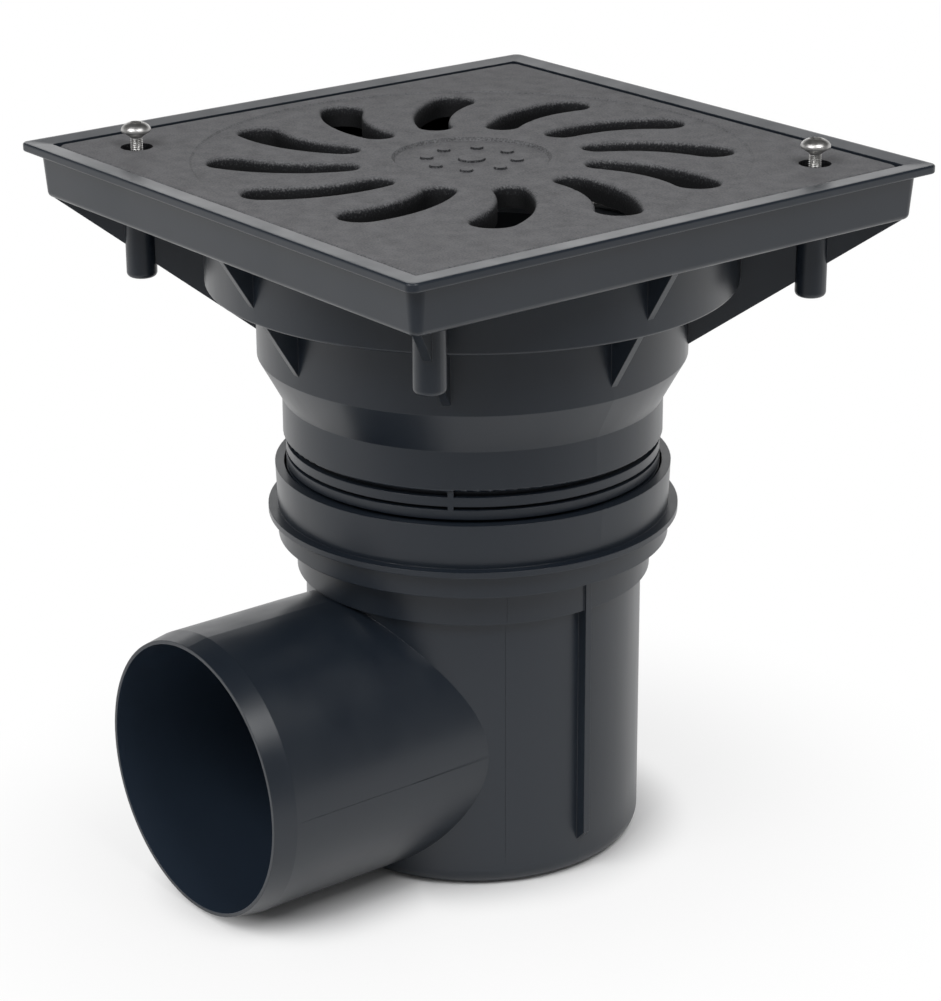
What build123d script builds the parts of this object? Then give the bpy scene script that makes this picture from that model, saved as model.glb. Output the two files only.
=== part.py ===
from build123d import *
import os
from math import cos, hypot, radians, sin, sqrt

os.makedirs("parts", exist_ok=True)

# A yard gully trap with a side outlet for a 110 mm drain pipe. Millimetres, Z up, the floor is z = 0.
# The trap body stands on the Z axis and its outlet points along -Y.

# Trap body: sizes of the moulding, from the outlet upwards
pipe_od = 110.0
wall = 3.0
outlet_clear = 0.4
outlet_reach = 134.2
mouth_chamfer_length = 9.0
mouth_chamfer_depth = 1.6
outlet_fit = 50.0
outlet_relief = 0.9
body_step = 10.4
base_round = 7.0
shoulder_rise = 0.4
ledge_step = 3.3
ledge_height = 13.8
socket_step = 7.0
socket_wall = 2.8
socket_depth = 28.6
rim_flare = 0.7
disc_step = 3.7
disc_rise = 9.2
disc_thickness = 2.3
body_rib_thickness = 2.8
body_rib_proud = 0.9
body_rib_foot = 14.0
body_rib_angles = (0, 90, 180)

# Socket seal and the gaps round what turns and slides in the socket
seal_groove_depth = 1.7
seal_groove_height = 6.5
seal_rim_land = 2.6
seal_lip_thickness = 1.2
running_gap = 0.9
seal_gap = 0.3
slide_down = 8.0
end_clear = 0.9

# Inlet frame: sizes of the moulding, from the spigot upwards
spigot_wall = 2.7
first_rib_drop = 2.4
spigot_rib_depth = 3.4
spigot_rib_height = 3.6
spigot_rib_pitch = 5.0
spigot_rib_count = 5
spigot_tab_width = 2.2
spigot_tab_angles = (45, 135, 225, 315)
spigot_showing = 11.8
neck_step = 1.0
neck_round = 1.0
neck_height = 15.6
cone_step = 9.2
cone_height = 16.8
collar_height = 28.9
top_collar_step = 18.9
top_collar_height = 25.7
frame_depth = 21.0
frame_margin = 14.6
frame_draft = 5.0
foot_corner = 3.3
foot_round = 2.4
collar_round = 1.0
rim_overhang = 6.3
rim_thickness = 3.3
rim_corner = 3.4
rim_round = 0.8
rim_fall = 0.6
pocket_wall = 2.7
pocket_corner = 0.8
boss_inset = 23.0
boss_radius = 5.9
boss_length = 30.5
boss_round = 2.0
web_thickness = 3.0
web_angles = (45, 135, 225, 315)
web_foot = 4.0
gusset_thickness = 2.8
gusset_angles = (0, 90, 180, 270)
top_gusset_drop = 19.6
top_gusset_reach = 12.6
collar_gusset_drop = 23.8
collar_gusset_reach = 15.0

# Grate and its screws
grate_gap = 0.8
grate_corner = 4.0
grate_drop = 0.8
grate_plate = 9.0
grate_skirt = 7.0
grate_edge_round = 1.8
field_margin = 7.2
field_depth = 0.5
field_draft = 60.0
hub_radius = 30.0
hub_depth = 1.2
hub_draft = 45.0
hub_boss_radius = 5.2
hub_stud_radius = 2.6
hub_stud_ring = 17.0
hub_stud_count = 8
hub_stud_height = 0.8
hub_stud_draft = 20.0
slot_count = 12
slot_inner_margin = 13.8
slot_inner_turn = 7.85
slot_outer_margin = 6.6
slot_outer_turn = -3.75
slot_inner_radius = 6.0
slot_outer_radius = 8.2
slot_bow = 61.0
slot_edge_round = 2.0
screw_radius = 2.4
screw_length = 40.0
screw_head_radius = 5.7
screw_head_height = 4.4
screw_head_under = 1.2
screw_head_dome = 2.6
screw_proud = 5.4
screw_key = 2.3
screw_key_depth = 2.2
screw_hole_clear = 0.8
screw_fit = 0.05
head_clear = 0.4
head_recess = 5.0
screw_pad = 10.0

# Sludge bucket and its bail
bucket_wall = 2.0
bucket_taper = 12.0
bucket_gap = 7.2
bucket_flange_gap = 3.0
bucket_clear = 1.2
bucket_slot_width = 5.0
bucket_slot_length = 26.0
bucket_slot_count = 16
bucket_slot_drop = 26.0
bucket_hole_radius = 3.0
bucket_hole_ring = 36.0
bucket_hole_count = 8
bail_wire = 1.6
bail_bend = 5.0
bail_inset = 11.0
bail_ear_thickness = 2.5
bail_ear_width = 9.0
bail_play = 0.2
bail_rise = 0.5
bail_end = 2.5

# Odour trap: insert, flap, hinge and seals
insert_wall = 2.5
insert_gap = 4.4
insert_flange = 2.0
insert_collar = 6.0
insert_seal_height = 6.0
insert_seal_lap = 2.2
insert_seal_gap = 0.2
insert_flange_lap = 2.2
grip_width = 6.0
grip_height = 4.0
grip_offset = 15.0
seat_tilt = 12.0
seat_setback = 23.0
seat_rise = 1.6
mouth_margin = 28.0
seat_width = 4.0
seat_proud = 2.5
flap_lap = 2.0
flap_plate = 3.0
flap_rib = 1.6
flap_rib_width = 2.4
flap_rib_count = 6
flap_seal_width = 2.8
flap_seal_thickness = 2.0
flap_seal_inset = 0.8
flap_seal_fit = 0.1
hinge_reach = 9.0
pin_radius = 2.0
pin_fit = 0.1
pin_head = 1.4
pin_head_thickness = 1.5
knuckle_wall = 2.2
knuckle_length = 40.0
ear_gap = 0.8
ear_thickness = 3.0
ear_foot = 9.0

# Heights and radii that follow from those sizes
outlet_radius = pipe_od / 2
outlet_z = outlet_clear + outlet_radius
outlet_bore = outlet_radius - wall
body_radius = outlet_radius + body_step
body_bore = body_radius - wall
shoulder_z = outlet_clear + pipe_od + shoulder_rise
ledge_z = shoulder_z + wall
ledge_radius = body_radius + ledge_step
ledge_bore = ledge_radius - wall
socket_z = shoulder_z + ledge_height
socket_floor_z = socket_z + wall
socket_radius = ledge_radius + socket_step
socket_bore = socket_radius - socket_wall
rim_z = socket_z + socket_depth
rim_radius = socket_radius + rim_flare
disc_z = socket_z + disc_rise
disc_radius = socket_radius + disc_step

seal_top_z = rim_z - seal_rim_land
seal_low_z = seal_top_z - seal_groove_height
seal_groove_radius = socket_bore + seal_groove_depth

spigot_rib_radius = socket_bore - running_gap
spigot_radius = spigot_rib_radius - spigot_rib_depth
spigot_bore = spigot_radius - spigot_wall
spigot_end_z = socket_floor_z + slide_down + end_clear
neck_radius = spigot_rib_radius + neck_step
neck_z = rim_z + spigot_showing
cone_z = neck_z + neck_height
collar_radius = neck_radius + cone_step
collar_z = cone_z + cone_height
top_collar_radius = collar_radius + top_collar_step
top_collar_z = collar_z + collar_height
frame_z = top_collar_z + top_collar_height
floor_z = frame_z + wall
top_z = frame_z + frame_depth
foot_half = top_collar_radius + frame_margin
rim_half = foot_half + rim_overhang
pocket_half = foot_half - pocket_wall
boss_place = pocket_half - boss_inset
web_reach = (foot_half - foot_corner) * sqrt(2) + foot_corner - foot_round

grate_half = pocket_half - grate_gap
field_radius = grate_half - field_margin
grate_top_z = top_z - grate_drop
field_z = grate_top_z - field_depth
hub_z = field_z - hub_depth

insert_top_z = ledge_z + insert_flange * 2 + insert_collar
bucket_seat_z = top_collar_z + wall
bucket_radius = collar_radius - wall - bucket_gap
bucket_low_radius = bucket_radius - bucket_taper
bucket_flange_radius = top_collar_radius - wall - bucket_flange_gap
bucket_low_z = insert_top_z + slide_down + bucket_clear

cup_radius = body_bore - insert_gap
cup_bore = cup_radius - insert_wall
mouth_radius = cup_radius - mouth_margin
mouth_z = outlet_z + seat_rise
seat_radius = mouth_radius + seat_width
flap_radius = seat_radius + flap_lap
cup_low_z = mouth_z - mouth_radius * cos(radians(seat_tilt)) - insert_wall
mouth_point = Vector(0, seat_setback - cup_radius, mouth_z)
mouth_normal = Vector(0, -cos(radians(seat_tilt)), sin(radians(seat_tilt)))
mouth_up = Vector(0, sin(radians(seat_tilt)), cos(radians(seat_tilt)))
mouth_plane = Plane(origin=mouth_point, x_dir=(1, 0, 0), z_dir=mouth_normal)
flap_face = seat_proud + seal_gap + flap_seal_thickness - flap_seal_inset
hinge_up = flap_radius + hinge_reach
hinge_out = flap_face + flap_plate / 2
hinge_point = mouth_point + mouth_up * hinge_up + mouth_normal * hinge_out
hinge_place = (hinge_point.Y, hinge_point.Z)
knuckle_radius = pin_radius + pin_fit + knuckle_wall
ear_face = knuckle_length / 2 + ear_gap


def turned(*points):
    """Adds the solid turned about the Z axis from an outline of (radius, height) points."""
    with BuildSketch(Plane.XZ) as outline:
        with BuildLine():
            Polyline(*points, close=True)
        make_face()
    revolve(outline.sketch, axis=Axis.Z)


def fin(angle, thickness, *points):
    """Adds an upright radial plate at an angle, from an outline of (radius, height) points."""
    direction = (cos(radians(angle)), sin(radians(angle)), 0)
    across = (sin(radians(angle)), -cos(radians(angle)), 0)
    with BuildSketch(Plane(origin=(0, 0, 0), x_dir=direction, z_dir=across)) as outline:
        with BuildLine():
            Polyline(*points, close=True)
        make_face()
    extrude(outline.sketch, amount=thickness / 2, both=True)


# Trap body: outside and outlet first, then the chamber, the socket and the bore are cut, then the ribs
with BuildPart() as trap_body:
    with BuildSketch(Plane.XZ):
        with BuildLine():
            Line((0, 0), (body_radius - base_round, 0))
            TangentArc((body_radius - base_round, 0), (body_radius, base_round), tangent=(1, 0))
            Polyline(
                (body_radius, base_round),
                (body_radius, shoulder_z),
                (ledge_radius, shoulder_z),
                (ledge_radius, socket_z),
                (socket_radius, socket_z),
                (socket_radius, disc_z),
                (disc_radius, disc_z),
                (disc_radius, disc_z + disc_thickness),
                (socket_radius, disc_z + disc_thickness),
                (rim_radius, rim_z),
                (0, rim_z),
                (0, 0),
            )
        make_face()
    revolve(axis=Axis.Z)
    with BuildSketch(Plane.YZ):
        with BuildLine():
            Polyline(
                (0, outlet_z),
                (0, outlet_z + outlet_radius - outlet_relief),
                (outlet_fit + mouth_chamfer_length - outlet_reach, outlet_z + outlet_radius),
                (mouth_chamfer_length - outlet_reach, outlet_z + outlet_radius),
                (-outlet_reach, outlet_z + outlet_radius - mouth_chamfer_depth),
                (-outlet_reach, outlet_z),
                close=True,
            )
        make_face()
    revolve(axis=Axis((0, 0, outlet_z), (0, 1, 0)))
    with BuildSketch(Plane.XZ):
        with BuildLine():
            Polyline(
                (0, wall),
                (body_bore, wall),
                (body_bore, ledge_z),
                (ledge_bore, ledge_z),
                (ledge_bore, socket_floor_z),
                (socket_bore, socket_floor_z),
                (socket_bore, seal_low_z),
                (seal_groove_radius, seal_low_z),
                (seal_groove_radius, seal_top_z),
                (socket_bore, seal_top_z),
                (socket_bore, rim_z),
                (0, rim_z),
                close=True,
            )
        make_face()
    revolve(axis=Axis.Z, mode=Mode.SUBTRACT)
    with BuildSketch(Plane.XZ):
        with Locations((0, outlet_z)):
            Circle(outlet_bore)
    extrude(amount=outlet_reach, mode=Mode.SUBTRACT)
    rib_radius = ledge_radius + body_rib_proud
    for angle in body_rib_angles:
        fin(
            angle,
            body_rib_thickness,
            (body_radius - wall / 2, body_rib_foot),
            (body_radius, body_rib_foot),
            (rib_radius, body_rib_foot + body_rib_proud + ledge_step),
            (rib_radius, socket_z + wall / 2),
            (ledge_radius - wall / 2, socket_z + wall / 2),
            (ledge_radius - wall / 2, shoulder_z + wall / 2),
            (body_radius - wall / 2, shoulder_z + wall / 2),
        )
trap_body.part.label = "trap_body"
export_step(trap_body.part, "parts/trap_body.step")

# Socket seal: a ring in the groove with two lips that lean towards the ribbed spigot
with BuildPart() as socket_seal:
    seal_outer = seal_groove_radius - seal_gap
    seal_inner = socket_bore + seal_gap
    lip_radius = spigot_rib_radius + seal_gap
    ring_low_z = seal_low_z + seal_gap
    ring_top_z = seal_top_z - seal_gap
    turned(
        (seal_outer, ring_low_z),
        (seal_outer, ring_top_z),
        (seal_inner, ring_top_z),
        (lip_radius, ring_top_z - seal_lip_thickness),
        (lip_radius, ring_top_z - seal_lip_thickness * 2),
        (seal_inner, (ring_low_z + ring_top_z) / 2),
        (lip_radius, ring_low_z + seal_lip_thickness),
        (lip_radius, ring_low_z),
    )
socket_seal.part.label = "socket_seal"
export_step(socket_seal.part, "parts/socket_seal.step")

# Inlet frame: outside with its ribs, bosses, webs and gussets first, then the hollow is cut
cone_shift = wall * cone_step / (hypot(cone_step, cone_height) + cone_height)
with BuildPart() as inlet_frame:
    with BuildSketch(Plane.XY.offset(frame_z)):
        RectangleRounded(foot_half * 2, foot_half * 2, foot_corner)
    extrude(amount=frame_depth - rim_thickness, taper=-frame_draft)
    fillet(inlet_frame.faces().sort_by(Axis.Z)[0].edges(), foot_round)
    with BuildSketch(Plane.XY.offset(top_z - rim_thickness)):
        RectangleRounded(rim_half * 2, rim_half * 2, rim_corner)
    extrude(amount=rim_thickness)
    rim_faces = inlet_frame.faces().filter_by(Plane.XY).sort_by(Axis.Z)[-2:]
    fillet([edge for face in rim_faces for edge in face.outer_wire().edges()], rim_round)
    with BuildSketch(Plane.XY.offset(frame_z - boss_length)):
        with GridLocations(boss_place * 2, boss_place * 2, 2, 2):
            Circle(boss_radius)
    extrude(amount=boss_length + wall / 2)
    boss_ends = inlet_frame.faces().sort_by(Axis.Z)[:4]
    fillet([edge for face in boss_ends for edge in face.edges()], boss_round)
    turned(
        (0, spigot_end_z),
        (spigot_radius - end_clear, spigot_end_z),
        (spigot_radius, spigot_end_z + end_clear),
        (spigot_radius, neck_z),
        (neck_radius, neck_z),
        (neck_radius, cone_z),
        (collar_radius, collar_z),
        (collar_radius, top_collar_z),
        (top_collar_radius, top_collar_z),
        (top_collar_radius, floor_z),
        (0, floor_z),
    )
    for level, edge_round in ((neck_z, neck_round), (top_collar_z, collar_round)):
        step_face = inlet_frame.faces().filter_by(Plane.XY).filter_by_position(
            Axis.Z, level - edge_round / 2, level + edge_round / 2
        )
        fillet(step_face[0].outer_wire().edges(), edge_round)
    first_rib_z = neck_z - first_rib_drop
    for step in range(spigot_rib_count):
        rib_top_z = first_rib_z - step * spigot_rib_pitch
        turned(
            (spigot_radius - spigot_wall / 2, rib_top_z - spigot_rib_height),
            (spigot_rib_radius, rib_top_z - spigot_rib_height),
            (spigot_rib_radius, rib_top_z),
            (spigot_radius - spigot_wall / 2, rib_top_z),
        )
    for angle in spigot_tab_angles:
        fin(
            angle,
            spigot_tab_width,
            (spigot_radius - spigot_wall / 2, first_rib_z - spigot_rib_pitch - spigot_rib_height / 2),
            (spigot_rib_radius, first_rib_z - spigot_rib_pitch - spigot_rib_height / 2),
            (spigot_rib_radius, neck_z + wall / 2),
            (spigot_radius - spigot_wall / 2, neck_z + wall / 2),
        )
    for angle in web_angles:
        fin(
            angle,
            web_thickness,
            (collar_radius - wall / 2, collar_z + web_foot),
            (collar_radius, collar_z + web_foot),
            (web_reach, frame_z),
            (web_reach, frame_z + wall / 2),
            (collar_radius - wall / 2, frame_z + wall / 2),
        )
    for angle in gusset_angles:
        fin(
            angle,
            gusset_thickness,
            (top_collar_radius - wall / 2, frame_z - top_gusset_drop),
            (top_collar_radius, frame_z - top_gusset_drop),
            (top_collar_radius + top_gusset_reach, frame_z),
            (top_collar_radius + top_gusset_reach, frame_z + wall / 2),
            (top_collar_radius - wall / 2, frame_z + wall / 2),
        )
        fin(
            angle,
            gusset_thickness,
            (collar_radius - wall / 2, top_collar_z - collar_gusset_drop),
            (collar_radius, top_collar_z - collar_gusset_drop),
            (collar_radius + collar_gusset_reach, top_collar_z),
            (collar_radius + collar_gusset_reach, top_collar_z + wall / 2),
            (collar_radius - wall / 2, top_collar_z + wall / 2),
        )
    with BuildSketch(Plane.XY.offset(floor_z)):
        RectangleRounded(pocket_half * 2, pocket_half * 2, pocket_corner)
    extrude(amount=frame_depth, mode=Mode.SUBTRACT)
    with BuildSketch(Plane.XY.offset(top_z - rim_fall)):
        RectangleRounded(pocket_half * 2, pocket_half * 2, pocket_corner)
    with BuildSketch(Plane.XY.offset(top_z)):
        crest_half = rim_half - rim_round * 2
        RectangleRounded(crest_half * 2, crest_half * 2, rim_corner)
    loft(ruled=True, mode=Mode.SUBTRACT)
    with BuildSketch(Plane.XZ):
        with BuildLine():
            Polyline(
                (0, spigot_end_z),
                (spigot_bore, spigot_end_z),
                (spigot_bore, neck_z + wall),
                (neck_radius - wall, neck_z + wall),
                (neck_radius - wall, cone_z + cone_shift),
                (collar_radius - wall, collar_z + cone_shift),
                (collar_radius - wall, bucket_seat_z),
                (top_collar_radius - wall, bucket_seat_z),
                (top_collar_radius - wall, floor_z),
                (0, floor_z),
                close=True,
            )
        make_face()
    revolve(axis=Axis.Z, mode=Mode.SUBTRACT)
    with BuildSketch(Plane.XY.offset(floor_z)):
        with GridLocations(boss_place * 2, boss_place * 2, 2, 2):
            Circle(screw_radius + screw_fit)
    extrude(amount=-boss_length, mode=Mode.SUBTRACT)
inlet_frame.part.label = "inlet_frame"
export_step(inlet_frame.part, "parts/inlet_frame.step")


def circle_meeting(first, first_reach, second, second_reach):
    """The point at two given distances from two points, on the right of the way from first to second."""
    along = (second - first).normalized()
    span = (second - first).length
    foot = (first_reach**2 - second_reach**2 + span**2) / (2 * span)
    rise = sqrt(first_reach**2 - foot**2)
    return first + along * foot + along.rotate(Axis.Z, -90) * rise


def slot_side(bend, first, first_offset, second, second_offset):
    """The arc about bend whose ends lie beside the two end centres, at the given offsets away from bend."""
    start = first + (first - bend).normalized() * first_offset
    end = second + (second - bend).normalized() * second_offset
    middle = bend + ((start + end) / 2 - bend).normalized() * (start - bend).length
    return start, middle, end


def slot_end(centre, first, last):
    """The half turn about an end centre from first to last, which lie across the slot from each other."""
    tip = centre + (first - last).rotate(Axis.Z, -90).normalized() * (first - centre).length
    return first, tip, last


# One slot of the grate: two round ends of different radius, joined by an outer and an inner arc
# that both touch them, so that the slot bows and widens outwards
inner_reach = hub_radius + slot_inner_margin + slot_inner_radius
outer_reach = field_radius - slot_outer_margin - slot_outer_radius
inner_end = Vector(inner_reach, 0).rotate(Axis.Z, slot_inner_turn)
outer_end = Vector(outer_reach, 0).rotate(Axis.Z, slot_outer_turn)
outer_bend = circle_meeting(
    inner_end, slot_bow - slot_inner_radius, outer_end, slot_bow - slot_outer_radius
)
inner_side_bow = slot_bow - slot_inner_radius - slot_outer_radius
inner_bend = circle_meeting(
    inner_end, inner_side_bow + slot_inner_radius, outer_end, inner_side_bow + slot_outer_radius
)
outer_side = slot_side(outer_bend, inner_end, slot_inner_radius, outer_end, slot_outer_radius)
inner_side = slot_side(inner_bend, inner_end, -slot_inner_radius, outer_end, -slot_outer_radius)
with BuildSketch() as slot:
    with BuildLine():
        ThreePointArc(*outer_side)
        ThreePointArc(*slot_end(outer_end, outer_side[2], inner_side[2]))
        ThreePointArc(*inner_side)
        ThreePointArc(*slot_end(inner_end, inner_side[0], outer_side[0]))
    make_face()

# Grate: a plate on a skirt, with a shallow round field, a hub recess and the swirl of slots
with BuildPart() as grate:
    with BuildSketch(Plane.XY.offset(floor_z)):
        RectangleRounded(grate_half * 2, grate_half * 2, grate_corner)
    extrude(amount=grate_top_z - floor_z)
    fillet(grate.faces().sort_by(Axis.Z)[-1].edges(), grate_edge_round)
    with BuildSketch(Plane.XY.offset(floor_z)):
        under_half = grate_half - grate_skirt
        RectangleRounded(under_half * 2, under_half * 2, grate_corner)
        with GridLocations(boss_place * 2, boss_place * 2, 2, 2):
            Circle(screw_pad, mode=Mode.SUBTRACT)
    extrude(amount=grate_top_z - floor_z - grate_plate, mode=Mode.SUBTRACT)
    with BuildSketch(Plane.XY.offset(grate_top_z)):
        Circle(field_radius)
    extrude(amount=-field_depth, taper=field_draft, mode=Mode.SUBTRACT)
    with BuildSketch(Plane.XY.offset(field_z)):
        with PolarLocations(0, slot_count):
            add(slot.sketch)
    extrude(amount=-grate_plate, mode=Mode.SUBTRACT)
    slot_rims = [
        edge
        for edge in grate.edges()
        if abs(edge.center().Z - field_z) < field_depth / 10
        and hub_radius < hypot(edge.center().X, edge.center().Y) < field_radius - slot_edge_round
    ]
    fillet(slot_rims, slot_edge_round)
    with BuildSketch(Plane.XY.offset(field_z)):
        Circle(hub_radius)
    extrude(amount=-hub_depth, taper=hub_draft, mode=Mode.SUBTRACT)
    with BuildSketch(Plane.XY.offset(hub_z)):
        Circle(hub_boss_radius)
        with PolarLocations(hub_stud_ring, hub_stud_count):
            Circle(hub_stud_radius)
    extrude(amount=hub_stud_height, taper=hub_stud_draft)
    with Locations((-boss_place, -boss_place, grate_top_z), (boss_place, boss_place, grate_top_z)):
        CounterBoreHole(screw_radius + screw_hole_clear, screw_head_radius + head_clear, head_recess)
grate.part.label = "grate"
export_step(grate.part, "parts/grate.step")

# Grate screws: button heads with a hexagon recess, standing proud at two opposite corners
head_z = grate_top_z + screw_proud
with BuildPart() as screw:
    with BuildSketch(Plane.XZ):
        with BuildLine():
            Polyline(
                (0, head_z - screw_length),
                (screw_radius / 2, head_z - screw_length),
                (screw_radius, head_z - screw_length + screw_radius),
                (screw_radius, head_z),
                (screw_head_radius, head_z + screw_head_under),
                (screw_head_radius, head_z + screw_head_height - screw_head_dome),
            )
            head_edge = (screw_head_radius, head_z + screw_head_height - screw_head_dome)
            dome_radius = (screw_head_radius**2 + screw_head_dome**2) / (screw_head_dome * 2)
            RadiusArc(head_edge, (0, head_z + screw_head_height), -dome_radius)
            Line((0, head_z + screw_head_height), (0, head_z - screw_length))
        make_face()
    revolve(axis=Axis.Z)
    with BuildSketch(Plane.XY.offset(head_z + screw_head_height - screw_key_depth)):
        RegularPolygon(screw_key, 6)
    extrude(amount=screw_key_depth * 2, mode=Mode.SUBTRACT)
with BuildPart() as grate_screws:
    with Locations((-boss_place, -boss_place, 0), (boss_place, boss_place, 0)):
        add(screw.part)
grate_screws.part.label = "grate_screws"
export_step(grate_screws.part, "parts/grate_screws.step")

# Sludge bucket: a tapered cup that hangs by its flange, slotted above and pierced below
bucket_top_z = bucket_seat_z + bucket_wall
bail_z = bucket_top_z + bail_rise + bail_wire
bail_radius = bucket_flange_radius - bail_inset
ear_middle = bail_radius - bail_bend - bail_ear_thickness
with BuildPart() as sludge_bucket:
    turned(
        (0, bucket_low_z),
        (bucket_low_radius, bucket_low_z),
        (bucket_radius, bucket_seat_z),
        (bucket_flange_radius, bucket_seat_z),
        (bucket_flange_radius, bucket_top_z),
        (bucket_radius - bucket_wall, bucket_top_z),
        (bucket_low_radius - bucket_wall, bucket_low_z + bucket_wall),
        (0, bucket_low_z + bucket_wall),
    )
    for near in (ear_middle, -ear_middle):
        with BuildSketch(Plane.YZ.offset(near - bail_ear_thickness / 2)):
            with Locations((0, bail_z)):
                Rectangle(bail_ear_width, (bail_z - bucket_seat_z) * 2 - bucket_wall)
                Circle(bail_wire + bail_play, mode=Mode.SUBTRACT)
        extrude(amount=bail_ear_thickness)
    slot_z = bucket_seat_z - bucket_slot_drop
    for turn in range(bucket_slot_count):
        angle = 360 / bucket_slot_count * (turn + 0.5)
        outward = (cos(radians(angle)), sin(radians(angle)), 0)
        across = (-sin(radians(angle)), cos(radians(angle)), 0)
        with BuildSketch(Plane(origin=(0, 0, slot_z), x_dir=across, z_dir=outward)):
            SlotOverall(bucket_slot_length, bucket_slot_width, rotation=90)
        extrude(amount=bucket_flange_radius, mode=Mode.SUBTRACT)
    with BuildSketch(Plane.XY.offset(bucket_low_z)):
        with PolarLocations(bucket_hole_ring, bucket_hole_count):
            Circle(bucket_hole_radius)
    extrude(amount=bucket_wall, mode=Mode.SUBTRACT)
sludge_bucket.part.label = "sludge_bucket"
export_step(sludge_bucket.part, "parts/sludge_bucket.step")

# Bucket bail: a half ring of wire folded down on the flange, its ends turned in through the ears
with BuildPart() as bucket_bail:
    with BuildLine() as bail_path:
        wire_end = ear_middle - bail_ear_thickness / 2 - bail_end
        Line((-wire_end, 0, bail_z), (bail_bend - bail_radius, 0, bail_z))
        bend_start = (bail_bend - bail_radius, 0, bail_z)
        JernArc(start=bend_start, tangent=(-1, 0, 0), radius=bail_bend, arc_size=-90)
        JernArc(start=(-bail_radius, bail_bend, bail_z), tangent=(0, 1, 0), radius=bail_radius, arc_size=-180)
        JernArc(start=(bail_radius, bail_bend, bail_z), tangent=(0, -1, 0), radius=bail_bend, arc_size=-90)
        Line((bail_radius - bail_bend, 0, bail_z), (wire_end, 0, bail_z))
    with BuildSketch(Plane(origin=(-wire_end, 0, bail_z), z_dir=(-1, 0, 0))):
        Circle(bail_wire)
    sweep(path=bail_path.line)
bucket_bail.part.label = "bucket_bail"
export_step(bucket_bail.part, "parts/bucket_bail.step")

# Trap insert: a cup cut off by the slanting seat wall, under a flange with a collar and a grip bar
flange_low_z = ledge_z + insert_flange
flange_top_z = flange_low_z + insert_flange
with BuildPart() as insert_hollow:
    with BuildSketch(Plane.XY.offset(cup_low_z + insert_wall)):
        Circle(cup_bore)
    extrude(amount=flange_top_z - cup_low_z - insert_wall)
    split(bisect_by=mouth_plane.offset(-insert_wall), keep=Keep.BOTTOM)
with BuildPart() as trap_insert:
    with BuildSketch(Plane.XY.offset(cup_low_z)):
        Circle(cup_radius)
    extrude(amount=flange_low_z - cup_low_z)
    split(bisect_by=mouth_plane, keep=Keep.BOTTOM)
    with BuildSketch(Plane.XY.offset(flange_low_z)):
        Circle(ledge_bore - insert_flange_lap - insert_seal_gap)
    extrude(amount=insert_flange)
    with BuildSketch(Plane.XY.offset(flange_top_z)):
        Circle(cup_radius)
        Circle(cup_bore, mode=Mode.SUBTRACT)
    extrude(amount=insert_top_z - flange_top_z)
    add(insert_hollow.part, mode=Mode.SUBTRACT)
    with BuildSketch(Plane.XY.offset(insert_top_z)):
        with Locations((0, grip_offset)):
            Rectangle(sqrt(cup_bore**2 - grip_offset**2) * 2 + insert_wall, grip_width)
    extrude(amount=-grip_height)
    with BuildSketch(mouth_plane):
        Circle(seat_radius)
    extrude(amount=seat_proud)
    with BuildSketch(mouth_plane.offset(seat_proud)):
        Circle(mouth_radius)
    extrude(amount=-seat_proud - insert_wall * 2, mode=Mode.SUBTRACT)
    ear_root = mouth_point - mouth_normal * insert_wall / 2 + mouth_up * hinge_up
    ear_low = ear_root - mouth_up * ear_foot
    ear_high = ear_root + mouth_up * ear_foot
    for near in (ear_face, -ear_face - ear_thickness):
        with BuildSketch(Plane.YZ.offset(near)):
            with Locations(hinge_place):
                Circle(knuckle_radius)
            with BuildLine():
                Line((ear_low.Y, ear_low.Z), (ear_high.Y, ear_high.Z))
            make_hull()
            with Locations(hinge_place):
                Circle(pin_radius + pin_fit, mode=Mode.SUBTRACT)
        extrude(amount=ear_thickness)
trap_insert.part.label = "trap_insert"
export_step(trap_insert.part, "parts/trap_insert.step")

# Insert seal: a ring that grips the edge of the insert's flange and lies on the body's ledge
with BuildPart() as insert_seal:
    grip_low_z = ledge_z + insert_flange
    grip_top_z = grip_low_z + insert_flange
    grip_radius = ledge_bore - insert_flange_lap
    inner_radius = cup_radius + insert_seal_lap
    turned(
        (inner_radius, ledge_z),
        (ledge_bore - insert_seal_gap, ledge_z),
        (ledge_bore - insert_seal_gap, ledge_z + insert_seal_height),
        (inner_radius, ledge_z + insert_seal_height),
        (inner_radius, grip_top_z),
        (grip_radius, grip_top_z),
        (grip_radius, grip_low_z),
        (inner_radius, grip_low_z),
    )
insert_seal.part.label = "insert_seal"
export_step(insert_seal.part, "parts/insert_seal.step")

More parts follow.
